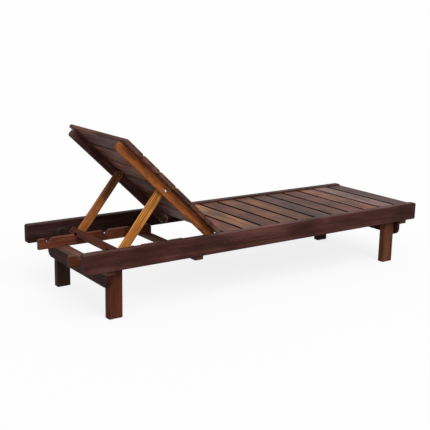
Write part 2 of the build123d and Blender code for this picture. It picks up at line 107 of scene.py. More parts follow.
# The tones of a plank's details, as lightness and warmth against the plank's own colour
BLUSH = (1.05, 1.16)
STREAK = (0.45, 1.1)
VEIN = (0.42, 1.12)
PORE = (0.30, 1.08)
SAWN_END = (0.15, 1.1)
WORN_EDGE = (1.8, 1.04)
# painted shade between neighbouring slats
GAP_SHADE = (0.05, 1.2)
GOLD = (1.03, 1.19, 1.02, 1.0)    # what turns plain wood to gold, as a multiple of its colour
BLUSH_SHARE = 0.4
FIBRE_ROUGHNESS = 0.22    # how far the fibre moves the roughness
DUST_ROUGHNESS = 0.5
PORE_DEPTH = 0.8          # against the fibre's height
BACK_SHADE = 0.35         # the backrest's share of the seat's painted gap shade

# Painted shade on a slat, for the shade between neighbouring slats: full below one height over
# its middle and none above the other, and on the seat slats' tops from the rim outwards
SHADE_FULL, SHADE_NONE = 0.00860, 0.00897
SLAT_SHADE_RIM = 0.0475
RIM_FADE = 0.0015

# A darker stretch of a plank: a place along the plank, counted from its middle, how far the plain
# wood reaches from there, and the tone beyond. On the left strut it is painted shadow over the
# upper part; on the ratchet boards it darkens the wood outside one stretch.
STRUT_SHADOW = (-1.0, 1.036, (0.60, 0.66, 1.00))
RATCHET_DARK_STRETCHES = {
    "right": (0.10, 0.05, (0.345, 0.343, 0.31)),
    "left": (0.10, 0.05, (0.50, 0.50, 0.50)),
}
STRETCH_RAGGED = 0.04       # how far the darker stretch's border wanders
STRETCH_BLUR = 0.003

# The tones of the steel's details, as lightness and warmth too
TARNISH = (0.35, 1.25)
# the darker head round a bolt's bright crown, which is a painted highlight
PAST_CROWN = (0.16, 1.3)
RUBBED_STEEL = (1.5, 1.0)
RUBBED_SHARE = 0.5
PATCH_ROUGHNESS = 0.25

# How the CAD's fasteners are read, in metres
SAME_POINT = 0.00001
END_DEPTH = 0.0002        # within which an end's outermost points lie
BELOW_TOP = 0.0003        # where a screw head's sides are under its top
HEAD_ZONE = 0.03          # how far in from a bolt's outer end its head reaches
SHARP_EDGE = math.radians(35)

# The studio
WHITE = (1.0, 1.0, 1.0, 1.0)
FLOOR_REACH = 30.0
LAMP_DISTANCE = 6.0
SENSOR_WIDTH = 36.0
CLIP_RANGE = (0.1, 200.0)


def linear(red, green, blue):
    """A colour as it looks on screen, from 0 to 255, as the linear colour that Blender keeps."""
    shares = [channel / 255 for channel in (red, green, blue)]
    return tuple(s / 12.92 if s <= 0.04045 else ((s + 0.055) / 1.055) ** 2.4 for s in shares)


DUST = (*linear(196, 186, 178), 1.0)


# Settings

def colour(name, description, red, green, blue):
    """A colour setting, given as the colour looks on screen."""
    return FloatVectorProperty(
        name=name, description=description, subtype="COLOR", size=3, min=0.0, max=1.0,
        default=linear(red, green, blue))


def share(name, description, default):
    """A setting from 0 to 1."""
    return FloatProperty(
        name=name, description=description, default=default, min=0.0, max=1.0, subtype="FACTOR")


def size(name, description, default, least, most):
    """A length setting, in metres."""
    return FloatProperty(
        name=name, description=description, default=default, min=least, max=most, unit="LENGTH")


def angle(name, description, degrees):
    """An angle setting, given in degrees."""
    return FloatProperty(
        name=name, description=description, default=math.radians(degrees), subtype="ANGLE")


class FrameWood(bpy.types.PropertyGroup):
    right_rail: colour("Right rail", "Dark reddish brown", 76, 47, 44)
    # painted shade: the far rail is coloured darker for the shade it stands in
    left_rail: colour("Left rail", "Blackish brown", 61, 41, 39)
    right_head_leg: colour("Right head leg", "Warm reddish brown", 87, 47, 36)
    # painted shade: the far head leg is coloured darker for the shade under the lounger
    left_head_leg: colour("Left head leg", "Blackish brown", 57, 42, 36)
    right_foot_leg: colour("Right foot leg", "Golden brown", 107, 69, 47)
    # painted shade: the far foot leg is coloured darker for the shade under the lounger
    left_foot_leg: colour("Left foot leg", "Blackish brown", 60, 40, 34)
    aprons: colour("Aprons", "Dark brown of the boards across the legs", 61, 36, 30)
    cross: colour("Cross battens", "Brown of the battens under the rails", 100, 65, 55)
    ratchets: colour("Ratchet boards", "Orange brown of the notched boards", 136, 78, 57)
    ledgers: colour("Ledgers", "Brown of the hidden strips under the slats", 90, 58, 46)


class SeatWood(bpy.types.PropertyGroup):
    slat_01: colour("Slat 1", "Pinkish brown, next to the backrest", 114, 59, 33)
    slat_02: colour("Slat 2", "Warm tan", 125, 82, 52)
    slat_03: colour("Slat 3", "Grey brown", 83, 41, 13)
    slat_04: colour("Slat 4", "Grey tan", 97, 58, 36)
    slat_05: colour("Slat 5", "Orange tan", 98, 57, 32)
    slat_06: colour("Slat 6", "Cool grey brown", 73, 43, 36)
    slat_07: colour("Slat 7", "Mauve grey", 83, 46, 33)
    slat_08: colour("Slat 8", "Mauve brown", 96, 54, 39)
    slat_09: colour("Slat 9", "Pinkish tan", 115, 71, 53)
    slat_10: colour("Slat 10", "Light pinkish grey", 118, 87, 80)
    slat_11: colour("Slat 11", "Dark grey brown at the foot end", 69, 40, 37)


class BackWood(bpy.types.PropertyGroup):
    slat_1: colour("Slat 1", "Mauve brown, at the top", 117, 82, 74)
    slat_2: colour("Slat 2", "Brown", 121, 82, 72)
    slat_3: colour("Slat 3", "Mauve brown", 129, 90, 81)
    slat_4: colour("Slat 4", "Brown", 109, 77, 72)
    slat_5: colour("Slat 5", "Reddish brown", 113, 75, 67)
    slat_6: colour("Slat 6", "Brown, next to the seat", 116, 81, 72)
    right_batten: colour("Right batten", "Bright honey", 171, 100, 58)
    # painted shade: the far batten is coloured darker for the shade it stands in
    left_batten: colour("Left batten", "Dark brown", 92, 62, 61)
    right_strut: colour("Right strut", "Golden honey", 190, 122, 61)
    left_strut: colour("Left strut", "Honey brown", 184, 114, 63)
    crossbar: colour("Crossbar", "Grey brown of the prop's bar", 81, 39, 27)


class WoodCharacter(bpy.types.PropertyGroup):
    ring_width: size("Ring width", "Distance between growth rings", 0.006, 0.001, 0.03)
    contrast: share("Contrast", "How far the dark and light figure stand apart", 0.62)
    mottle: share("Mottle", "Depth of the broad soft blotches", 0.35)
    pores: share("Pores", "Strength of the fine dark pores", 0.45)
    roughness: share("Roughness", "Roughness of the oiled surface", 0.48)
    edge_wear: share("Edge wear", "How much lighter the rubbed edges are", 0.35)
    wear_width: size("Wear width", "Width of the rubbed edges", 0.003, 0.0005, 0.01)
    dust: share("Dust", "Pale dust on what faces up", 0.06)
    sheen: share("Sheen", "Strength of the oil's reflections", 0.06)
    grime: share("Grime", "Darkness between neighbouring slats", 1.0)
    end_grain: share("End grain", "How much darker the planks' sawn ends are", 0.30)
    # painted shade: how dark the sides between neighbouring slats are painted
    veins: share("Veins", "Strength of the thin dark lines along the grain", 0.4)


class Hardware(bpy.types.PropertyGroup):
    steel: colour("Steel", "Zinc plated sleeves of the backrest's pivots", 176, 172, 164)
    # painted highlight: the bright middle of the prop bolts' heads stands in for the glint on their
    # domes
    glint_steel: colour("Glint steel", "Bright middle of the prop's bolt heads", 238, 222, 212)
    dark_steel: colour("Dark steel", "Browned bolts, nuts and washers", 62, 42, 36)
    screw_steel: colour("Screw steel", "Browned wood screws", 66, 46, 38)
    # radius of the painted highlight on the prop bolts' heads
    crown: size("Crown", "Radius of the bright middle of a prop bolt's head", 0.0052, 0.001, 0.02)
    recess_depth: size("Recess depth", "Depth of the cross in a screw head", 0.0016, 0.0, 0.004)
    thread_pitch: size("Thread pitch", "Distance between a bolt's threads", 0.0014, 0.0005, 0.004)


class Studio(bpy.types.PropertyGroup):
    camera_place: FloatVectorProperty(
        name="Camera place", description="Where the camera stands", subtype="TRANSLATION",
        default=(-2.4812, -3.3355, 1.3059))
    camera_yaw: angle("Yaw", "The camera's direction, from +X towards +Y", 55.15)
    camera_dip: angle("Dip", "How far the camera looks down", 13.65)
    camera_roll: angle("Roll", "The camera's turn about its own line of sight", 1.08)
    lens: FloatProperty(
        name="Lens", description="Focal length, in millimetres", default=70.17, min=10.0,
        unit="CAMERA")
    shift: FloatVectorProperty(
        name="Shift", description="Lens shift across and up", size=2, default=(0.0156, 0.0026))
    sky: FloatProperty(
        name="Sky", description="Strength of the light from all round", default=0.50, min=0.0)
    key: FloatProperty(
        name="Key lamp", description="Strength of the large soft lamp", default=2.1, min=0.0)
    key_aim: FloatVectorProperty(
        name="Key aim", description="From the lounger towards the soft lamp",
        subtype="DIRECTION", default=(-0.08, -0.66, 0.75))
    key_spread: angle("Key spread", "How wide the soft lamp looks", 48.0)
    floor: colour("Floor", "The floor as it throws light back", 150, 148, 146)
    white: share("White", "Brightness of the backdrop", 0.991)
    shadow: share("Shadow", "How much of its shadow the white floor shows", 0.17)


class LoungerSettings(bpy.types.PropertyGroup):
    frame_wood: PointerProperty(type=FrameWood)
    seat_wood: PointerProperty(type=SeatWood)
    back_wood: PointerProperty(type=BackWood)
    character: PointerProperty(type=WoodCharacter)
    hardware: PointerProperty(type=Hardware)
    studio: PointerProperty(type=Studio)


# Nodes

def add(tree, kind, links=(), **values):
    """A new node: its settings by name, its inputs from (socket, source or value) pairs."""
    node = tree.nodes.new(kind)
    for name, value in values.items():
        setattr(node, name, value)
    for socket, source in links:
        feed(tree, node.inputs[socket], source)
    return node


def feed(tree, socket, source):
    """Links a socket to another node's output, or sets it to a value."""
    if isinstance(source, bpy.types.NodeSocket):
        tree.links.new(source, socket)
    else:
        socket.default_value = source


def calc(tree, operation, *terms):
    """The result of a Math node on one to three terms."""
    return add(tree, "ShaderNodeMath", list(enumerate(terms)), operation=operation).outputs[0]


def ramp(tree, value, start, end, smooth=False, to=(0.0, 1.0)):
    """A value's way from start to end, as a share or between the two results given."""
    links = zip(("Value", "From Min", "From Max", "To Min", "To Max"), (value, start, end, *to))
    kind = "SMOOTHSTEP" if smooth else "LINEAR"
    return add(tree, "ShaderNodeMapRange", links, interpolation_type=kind).outputs[0]


def mixed(tree, amount, first, second, blend="MIX"):
    """Two colours mixed, by the amount of the second."""
    node = add(tree, "ShaderNodeMix", data_type="RGBA", blend_type=blend)
    for socket, source in ((0, amount), (6, first), (7, second)):
        feed(tree, node.inputs[socket], source)
    return node.outputs[2]


def split(tree, vector):
    """The X, Y and Z of a vector."""
    return add(tree, "ShaderNodeSeparateXYZ", [(0, vector)]).outputs


def vector_math(tree, operation, *terms):
    """A Vector Math node on one or two vectors."""
    return add(tree, "ShaderNodeVectorMath", list(enumerate(terms)), operation=operation)


def noise(tree, vector, scale, detail, roughness=0.5):
    """Noise of the same fineness all round."""
    return add(tree, "ShaderNodeTexNoise", [
        ("Vector", vector), ("Scale", scale), ("Detail", detail), ("Roughness", roughness),
    ]).outputs["Fac"]


def stretched_noise(tree, vector, fineness, detail, roughness=0.5):
    """Noise with its own fineness along each axis, per metre."""
    scaled = vector_math(tree, "MULTIPLY", vector, fineness)
    return noise(tree, scaled.outputs[0], 1.0, detail, roughness)


# Shader groups

def new_group(name, inputs, outputs=("Mask",)):
    """An empty shader group and its two end nodes; inputs gives each one's default."""
    group = bpy.data.node_groups.new(name, "ShaderNodeTree")
    for title, value in inputs.items():
        kind = "NodeSocketVector" if isinstance(value, tuple) else "NodeSocketFloat"
        group.interface.new_socket(title, in_out="INPUT", socket_type=kind).default_value = value
    for title in outputs:
        group.interface.new_socket(title, in_out="OUTPUT", socket_type="NodeSocketFloat")
    return group, group.nodes.new("NodeGroupInput").outputs, group.nodes.new("NodeGroupOutput")


def end_with(group, result, mask, amount):
    """Puts out a mask times the amount asked for."""
    group.links.new(calc(group, "MULTIPLY", mask, amount), result.inputs["Mask"])
    return group


def plank_grain_group(name):
    """Rings about a pith beside the plank, with the grain's streaks, pores and blotches."""
    group, given, result = new_group(
        name, {"Vector": ORIGIN, "Ring Width": 0.006, "Fineness": 1.0},
        ("Figure", *GRAIN_NOISES))
    place = given["Vector"]
    sized = add(group, "ShaderNodeVectorMath", [
        (0, place), ("Scale", given["Fineness"])], operation="SCALE").outputs[0]
    bend = stretched_noise(group, place, fineness=(1.6, 14.0, 14.0), detail=2.0)
    along, aside, up = split(group, place)
    aside = calc(group, "MULTIPLY_ADD", bend, BEND[0], aside)
    up = calc(group, "MULTIPLY_ADD", bend, BEND[1], up)
    squares = calc(
        group, "ADD", calc(group, "MULTIPLY", aside, aside), calc(group, "MULTIPLY", up, up))
    taper = calc(group, "MULTIPLY", along, TAPER)
    radius = calc(group, "ADD", calc(group, "SQRT", squares), taper)
    wave = calc(group, "FRACT", calc(group, "DIVIDE", radius, given["Ring Width"]))
    early = ramp(group, wave, 0.0, LATE_WOOD, smooth=True)
    late = ramp(group, wave, 1.0, LATE_WOOD, smooth=True)
    rings = calc(group, "MINIMUM", early, late)
    clouds = stretched_noise(
        group, sized, fineness=(4.2, 22.0, 22.0), detail=3.0, roughness=0.6)
    cloudy = calc(group, "MULTIPLY", clouds, 1 - RING_SHARE)
    figure = calc(group, "MULTIPLY_ADD", rings, RING_SHARE, cloudy)
    group.links.new(figure, result.inputs["Figure"])
    for title, (length, width, detail, roughness, rise) in GRAIN_NOISES.items():
        vector = sized if title == "Blush" else place
        value = stretched_noise(group, vector, (length, width, width), detail, roughness)
        if rise:
            value = ramp(group, value, *rise)
        group.links.new(value, result.inputs[title])
    return group


def edge_wear_group(name):
    """A mask of the edges, where the rounded-over normal leaves the true one."""
    group, given, result = new_group(name, {"Vector": ORIGIN, "Amount": 0.4})
    width = bpy.context.scene.lounger.character.wear_width
    rounded = add(group, "ShaderNodeBevel", [("Radius", width)], samples=4)
    flat = add(group, "ShaderNodeNewGeometry")
    match = vector_math(group, "DOT_PRODUCT", rounded.outputs["Normal"], flat.outputs["Normal"])
    edge = ramp(group, match.outputs["Value"], start=0.998, end=0.90)
    patches = noise(group, given["Vector"], scale=38.0, detail=4.0, roughness=0.7)
    broken = ramp(group, patches, start=0.38, end=0.62)
    return end_with(group, result, calc(group, "MULTIPLY", edge, broken), given["Amount"])


def gap_shade_group(name):
    """A mask of painted shade on a slat's long sides, next to the other slats, and on its top beyond
    the rim.
    """
    group, given, result = new_group(name, {
        "Normal": (0.0, 0.0, 1.0), "Height": 0.0, "Across": 0.0, "Rim": 1.0, "Amount": 0.7})
    facing = calc(group, "ABSOLUTE", split(group, given["Normal"])["Y"])
    side = ramp(group, facing, start=0.04, end=0.30, smooth=True)
    below = ramp(group, given["Height"], SHADE_NONE, SHADE_FULL)
    away = calc(group, "ABSOLUTE", given["Across"])
    rim = ramp(group, calc(group, "SUBTRACT", away, given["Rim"]), start=0.0, end=RIM_FADE)
    dirty = calc(group, "MAXIMUM", calc(group, "MULTIPLY", side, below), rim)
    return end_with(group, result, dirty, given["Amount"])


def end_grain_group(name):
    """A mask of the faces that look along the grain, where the wood was sawn across."""
    group, given, result = new_group(name, {"Normal": (0.0, 0.0, 1.0), "Amount": 0.3})
    facing = calc(group, "ABSOLUTE", split(group, given["Normal"])["X"])
    sawn = ramp(group, facing, start=0.55, end=0.9, smooth=True)
    return end_with(group, result, sawn, given["Amount"])


def past_crown_group(name):
    """A mask of all that is farther from a bolt's axis, along Y, than its bright crown, a painted
    highlight, reaches.
    """
    group, given, result = new_group(name, {"Vector": ORIGIN, "Axis": ORIGIN, "Crown": 0.003})
    offset = vector_math(group, "SUBTRACT", given["Vector"], given["Axis"])
    flat = vector_math(group, "MULTIPLY", offset.outputs[0], (1.0, 0.0, 1.0))
    span = vector_math(group, "LENGTH", flat.outputs[0])
    crowns = calc(group, "DIVIDE", span.outputs["Value"], given["Crown"])
    rim = ramp(group, crowns, start=0.9, end=1.35, smooth=True)
    group.links.new(rim, result.inputs["Mask"])
    return group


def dark_stretch_group(name):
    """A mask beyond a border along the plank, ragged with the grain, for painted shadow on the left
    strut and darker stretches of the ratchet boards.
    """
    group, given, result = new_group(name, {"Vector": ORIGIN, "Along": 0.0, "Border": 0.0})
    ragged = stretched_noise(
        group, given["Vector"], fineness=(9.0, 120.0, 120.0), detail=3.0, roughness=0.6)
    reach = calc(group, "MULTIPLY_ADD", ragged, STRETCH_RAGGED, given["Along"])
    past = calc(group, "SUBTRACT", reach, given["Border"])
    middle = STRETCH_RAGGED / 2
    edge = ramp(group, past, middle - STRETCH_BLUR, middle + STRETCH_BLUR, smooth=True)
    group.links.new(edge, result.inputs["Mask"])
    return group


def resting_dust_group(name):
    """A mask of what faces up, broken into soft patches."""
    group, given, result = new_group(name, {"Vector": ORIGIN, "Amount": 0.1})
    facing = split(group, add(group, "ShaderNodeNewGeometry").outputs["Normal"])
    upward = ramp(group, facing["Z"], start=0.2, end=1.0)
    patches = noise(group, given["Vector"], scale=9.0, detail=5.0, roughness=0.6)
    return end_with(group, result, calc(group, "MULTIPLY", upward, patches), given["Amount"])


GROUPS = {
    "Plank grain": plank_grain_group,
    "Edge wear": edge_wear_group,
    "Gap grime": gap_shade_group,
    "End grain": end_grain_group,
    "Rim tarnish": past_crown_group,
    "Heartwood": dark_stretch_group,
    "Resting dust": resting_dust_group,
}


def placed_group(tree, name, links):
    """A material's own place for a shared group, which is made when it is first asked for."""
    group = bpy.data.node_groups.get(name) or GROUPS[name](name)
    return add(tree, "ShaderNodeGroup", links, node_tree=group).outputs


# Materials

def new_material(name):
    """A node material, its tree and its shader."""
    material = bpy.data.materials.new(name)
    material.use_nodes = True
    tree = material.node_tree
    return material, tree, tree.nodes["Principled BSDF"].inputs


def shade(base, factor, warmth=1.0):
    """A lighter or darker tone of a colour; a warmth over 1 shifts it to red."""
    factors = (factor * warmth, factor, factor / warmth)
    return (*(min(part * by, 1.0) for part, by in zip(base, factors)), 1.0)


def set_relief(tree, shader, height, strength, distance):
    """Gives a shader a fine relief."""
    bump = add(tree, "ShaderNodeBump", [
        ("Height", height), ("Strength", strength), ("Distance", distance)])
    tree.links.new(bump.outputs[0], shader["Normal"])


def plank_material(node, turn, base, figure=1.0, grime=0.0, heart=None, golden=0.0, sheen=1.0,
                   fineness=1.0, mottle=0.5, pale=1.02, rim=1.0):
    """Oiled hardwood for one plank, with its grain along the plank and its own place in the tree.

    figure and mottle are the strengths of the fine and the broad pattern, and fineness shrinks
    the figure. golden turns the plain wood to gold, and pale is the light wood's warmth.
    grime is how dark the painted shade between neighbouring slats is, and rim is how far
    from the plank's middle line that painted shade on its top starts.
    """
    wood = bpy.context.scene.lounger.character
    chance = random.Random(node)
    material, tree, shader = new_material(f"{node}_wood")
    low, high = (Vector(corner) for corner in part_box(node))
    centre = Euler(turn).to_matrix() @ ((low + high) / 2)
    pith = Vector((
        chance.uniform(-PITH_ALONG, PITH_ALONG), chance.uniform(-PITH_ASIDE, PITH_ASIDE),
        chance.choice((-1, 1)) * chance.uniform(*PITH_DEPTH)))
    ring_width = wood.ring_width * chance.uniform(*RING_SPREAD)
    drawn = add(tree, "ShaderNodeTexCoord").outputs
    place = add(tree, "ShaderNodeMapping", [
        ("Vector", drawn["Object"]), ("Rotation", turn), ("Location", pith - centre)]).outputs[0]
    normal = add(tree, "ShaderNodeMapping", [
        ("Vector", drawn["Normal"]), ("Rotation", turn)], vector_type="NORMAL").outputs[0]
    where = split(tree, place)
    grain = placed_group(tree, "Plank grain", [
        ("Vector", place), ("Ring Width", ring_width), ("Fineness", fineness)])
    wear = placed_group(tree, "Edge wear", [("Vector", place), ("Amount", wood.edge_wear)])
    dust = placed_group(tree, "Resting dust", [("Vector", place), ("Amount", wood.dust)])
    sawn = placed_group(tree, "End grain", [("Normal", normal), ("Amount", wood.end_grain)])

    contrast, reach = wood.contrast, FIGURE_REACH / figure
    dark = shade(base, 1 - contrast, DARK_WARMTH + GOLDEN_WARMTH * golden)
    light = shade(base, 1 + contrast * LIGHT_LIFT, pale)
    surface = mixed(tree, ramp(tree, grain["Figure"], 0.5 - reach, 0.5 + reach), dark, light)
    blushing = calc(tree, "MULTIPLY", grain["Blush"], BLUSH_SHARE)
    surface = mixed(tree, blushing, surface, shade(base, *BLUSH))
    depth = wood.mottle * mottle
    blotch = ramp(tree, grain["Mottle"], 0.0, 1.0, to=(1 - depth, 1 + depth))
    surface = mixed(tree, 1.0, surface, blotch, "MULTIPLY")
    if golden:
        plain = calc(tree, "SUBTRACT", 1.0, grain["Blush"])
        gold = mixed(tree, 1.0, surface, GOLD, "MULTIPLY")
        surface = mixed(tree, calc(tree, "MULTIPLY", plain, golden), surface, gold)
    for mask, tone in (
            (ramp(tree, grain["Streaks"], start=0.50, end=0.70, to=(0.0, contrast)), STREAK),
            (calc(tree, "MULTIPLY", grain["Veins"], wood.veins), VEIN),
            (calc(tree, "MULTIPLY", grain["Pores"], wood.pores), PORE),
            (sawn["Mask"], SAWN_END),
            (wear["Mask"], WORN_EDGE)):
        surface = mixed(tree, mask, surface, shade(base, *tone))
    surface = mixed(tree, dust["Mask"], surface, DUST)
    # A darker stretch: painted shadow over the left strut's upper part, and the ratchet boards
    # darkened outside one stretch
    if heart:
        middle, plain_reach, stretch_tone = heart
        offset = calc(tree, "SUBTRACT", where["X"], pith.x + middle)
        border = placed_group(tree, "Heartwood", [
            ("Vector", place), ("Along", calc(tree, "ABSOLUTE", offset)), ("Border", plain_reach)])
        darker = mixed(tree, 1.0, surface, (*stretch_tone, 1.0), "MULTIPLY")
        surface = mixed(tree, border["Mask"], surface, darker)

    rough = calc(tree, "MULTIPLY_ADD", grain["Fibre"], FIBRE_ROUGHNESS,
                 wood.roughness - FIBRE_ROUGHNESS / 2)
    rough = calc(tree, "MULTIPLY_ADD", dust["Mask"], DUST_ROUGHNESS, rough)
    # Painted shade between the slats: their long sides and the seat slats' outer strips of top are
    # darkened, and made fully rough there to dull the sheen
    if grime:
        gap = placed_group(tree, "Gap grime", [
            ("Normal", normal), ("Height", calc(tree, "SUBTRACT", where["Z"], pith.z)),
            ("Across", calc(tree, "SUBTRACT", where["Y"], pith.y)), ("Rim", rim),
            ("Amount", grime)])
        surface = mixed(tree, gap["Mask"], surface, shade(base, *GAP_SHADE))
        rough = calc(tree, "MAXIMUM", rough, gap["Mask"])
    tree.links.new(surface, shader["Base Color"])
    tree.links.new(rough, shader["Roughness"])
    shader["Specular IOR Level"].default_value = wood.sheen * sheen
    pits = calc(tree, "MULTIPLY", grain["Pores"], PORE_DEPTH)
    relief = calc(tree, "SUBTRACT", grain["Fibre"], pits)
    set_relief(tree, shader, relief, strength=0.35, distance=0.0006)
    return material


def steel_material(name, base, roughness, tarnish, crown=None):
    """Plated steel with cloudy tarnish and fine scratches.

    A crown, as a point on the bolt's axis and a radius, stays bright as a painted highlight, and the
    head beyond it is darker.
    """
    material, tree, shader = new_material(name)
    place = add(tree, "ShaderNodeTexCoord").outputs["Object"]
    clouds = noise(tree, place, scale=260.0, detail=5.0, roughness=0.65)
    patch = ramp(tree, clouds, start=0.4, end=0.7)
    cloudy = calc(tree, "MULTIPLY", patch, tarnish)
    surface = mixed(tree, cloudy, (*base, 1.0), shade(base, *TARNISH))
    wear = placed_group(tree, "Edge wear", [("Vector", place), ("Amount", RUBBED_SHARE)])
    surface = mixed(tree, wear["Mask"], surface, shade(base, *RUBBED_STEEL))
    # a bright crown as a painted highlight, with the head around it darker
    if crown:
        axis, radius = crown
        rim = placed_group(tree, "Rim tarnish", [
            ("Vector", place), ("Axis", axis), ("Crown", radius)])
        surface = mixed(tree, rim["Mask"], surface, shade(base, *PAST_CROWN))
    tree.links.new(surface, shader["Base Color"])
    rough = calc(tree, "MULTIPLY_ADD", patch, PATCH_ROUGHNESS, roughness)
    tree.links.new(rough, shader["Roughness"])
    shader["Metallic"].default_value = 1.0
    scratches = stretched_noise(tree, place, fineness=(300.0, 300.0, 2400.0), detail=2.0)
    set_relief(tree, shader, scratches, strength=0.12, distance=0.0002)
    return material


def end_tree(tree, output, lighting, shown):
    """Ends a tree in one shader for its light, and one for what looks straight at it."""
    path = add(tree, "ShaderNodeLightPath").outputs
    gloss = calc(tree, "MAXIMUM", path["Is Glossy Ray"], path["Is Transmission Ray"])
    direct = calc(tree, "MAXIMUM", path["Is Camera Ray"], gloss)
    both = add(tree, "ShaderNodeMixShader", [
        (0, direct), (1, lighting.outputs[0]), (2, shown.outputs[0])])
    add(tree, output, [("Surface", both.outputs[0])])


def dress(node, material):
    """Gives a CAD node its material."""
    for slot in frame["nodes"][node].material_slots:
        slot.material = material


# Turned hardware, set where the CAD solids are

def mean(points):
    """The middle of some points."""
    return sum(points, Vector()) / len(points)


def off_axis(point, axis):
    """How far a point is from the line along Y through another."""
    return math.hypot(point.x - axis.x, point.z - axis.z)


def solids_of(node):
    """The corner points of each separate solid in a CAD node, in the order of their middles."""
    source = frame["nodes"][node]
    mesh = bmesh.new()
    mesh.from_mesh(source.data)
    bmesh.ops.remove_doubles(mesh, verts=mesh.verts, dist=SAME_POINT)
    mesh.verts.index_update()
    left, solids = set(mesh.verts), []
    while left:
        reached, waiting = set(), [left.pop()]
        while waiting:
            vert = waiting.pop()
            reached.add(vert)
            for edge in vert.link_edges:
                other = edge.other_vert(vert)
                if other in left:
                    left.discard(other)
                    waiting.append(other)
        in_order = sorted(reached, key=lambda vert: vert.index)
        solids.append([source.matrix_world @ vert.co for vert in in_order])
    mesh.free()
    return sorted(solids, key=lambda points: tuple(round(part, 5) for part in mean(points)))


def flat_ends(points):
    """The reach and middle of the outermost points at each end of a long solid.

    The line that they are outermost along leans a little on a solid with a wide head.
    """
    far = max(points, key=lambda point: (point - points[0]).length)
    near = max(points, key=lambda point: (point - far).length)
    line = (far - near).normalized()
    for _ in range(3):
        reach = sorted(points, key=lambda point: point.dot(line))
        first = [point for point in points if (point - reach[0]).dot(line) < END_DEPTH]
        last = [point for point in points if (reach[-1] - point).dot(line) < END_DEPTH]
        line = (mean(last) - mean(first)).normalized()
    middles = (mean(first), mean(last))
    return [(max((point - middle).length for point in end), middle)
            for end, middle in zip((first, last), middles)]


def set_along(origin, direction, spin=0.0):
    """The placing of a turned piece that is drawn along +Z."""
    turn = direction.to_track_quat("Z", "Y").to_matrix().to_4x4()
    return Matrix.Translation(origin) @ turn @ Matrix.Rotation(spin, 4, "Z")


def set_inward(axis, start):
    """The placing of a turned piece from a place on Y towards the lounger's middle."""
    return set_along(
        Vector((axis.x, start, axis.z)), Vector((0.0, -math.copysign(1.0, start), 0.0)))


def turned(mesh, placing, outline, steps, bored=False, shape=None):
    """Adds a solid of revolution with flat ends, or with a bore that the outline comes back along.

    outline lists (height, radius), and shape(angle, radius) may change the radius round the axis.
    """
    rings = []
    for height, radius in outline:
        ring = []
        for step in range(steps):
            turn = 2 * math.pi * step / steps
            reach = shape(turn, radius) if shape else radius
            point = Vector((reach * math.cos(turn), reach * math.sin(turn), height))
            ring.append(mesh.verts.new(placing @ point))
        rings.append(ring)
    pairs = list(zip(rings, rings[1:]))
    if bored:
        pairs.append((rings[-1], rings[0]))
    for lower, upper in pairs:
        for step in range(steps):
            after = (step + 1) % steps
            mesh.faces.new((lower[step], lower[after], upper[after], upper[step]))
    if not bored:
        mesh.faces.new(list(reversed(rings[0])))
        mesh.faces.new(rings[-1])


def cross_screw(mesh, placing, head_radius, head_height, radius, length, depth):
    """A wood screw with a cross recess, its head's top at height 0."""
    waist = 0.34
    bevel = head_radius * 0.08

    def cross(turn, reach):
        if reach > head_radius * 0.72:
            return reach
        arm = abs(math.cos(2 * turn)) ** 6
        return reach * (waist + (1 - waist) * arm)

    outline = [
        (depth, head_radius * waist), (depth * 0.25, head_radius * 0.62),
        (0.0, head_radius * 0.68), (0.0, head_radius * 0.86),
        (bevel * 0.3, head_radius - bevel), (bevel, head_radius), (head_height, head_radius),
        (head_height, radius), (length - radius * 2, radius), (length, radius * 0.25),
    ]
    turned(mesh, placing, outline, steps=48, shape=cross)


def threaded_outline(start, end, radius, pitch):
    """Crests and roots from one height to another."""
    count = max(int((end - start) / pitch), 1)
    step = (end - start) / count
    outline = []
    for number in range(count):
        low = start + number * step
        outline += [(low, radius * 0.90), (low + step * 0.35, radius), (low + step * 0.65, radius)]
    return outline + [(end, radius * 0.86)]


def dome_bolt(mesh, placing, head_radius, head_height, radius, length, pitch):
    """A coach bolt: a low dome under height 0, a plain shank, and a thread at its end."""
    levels = 8
    outline = [(-head_height, head_radius * 0.10)]
    for level in range(1, levels):
        rise = QUARTER_TURN * level / levels
        outline.append((-head_height * math.cos(rise), head_radius * math.sin(rise)))
    outline += [(-head_height * 0.06, head_radius), (0.0, head_radius), (0.0, radius)]
    outline += threaded_outline(length - radius * 4, length, radius, pitch)
    turned(mesh, placing, outline, steps=40)


def hexagon_nut(mesh, placing, corner_radius, bore_radius, height):
    """A nut with its corners chamfered on both faces."""
    flat = corner_radius * math.cos(math.pi / 6)
    chamfer = (corner_radius - flat) * 0.6
    mouth = bore_radius * 0.15

    def six_sided(turn, reach):
        if reach <= bore_radius * 1.2:
            return reach
        wrapped = (turn + math.pi / 6) % (math.pi / 3) - math.pi / 6
        return min(flat / math.cos(wrapped), reach)

    outline = [
        (0.0, flat * 0.98), (chamfer, corner_radius), (height - chamfer, corner_radius),
        (height, flat * 0.98), (height, bore_radius + mouth), (height - mouth, bore_radius),
        (mouth, bore_radius), (0.0, bore_radius + mouth),
    ]
    turned(mesh, placing, outline, steps=48, bored=True, shape=six_sided)


def round_ring(mesh, placing, outer_radius, bore_radius, height):
    """A washer or sleeve with its rims eased."""
    ease = min(height, outer_radius - bore_radius) * 0.18
    outline = [
        (0.0, outer_radius - ease), (ease, outer_radius), (height - ease, outer_radius),
        (height, outer_radius - ease), (height, bore_radius), (0.0, bore_radius),
    ]
    turned(mesh, placing, outline, steps=40, bored=True)


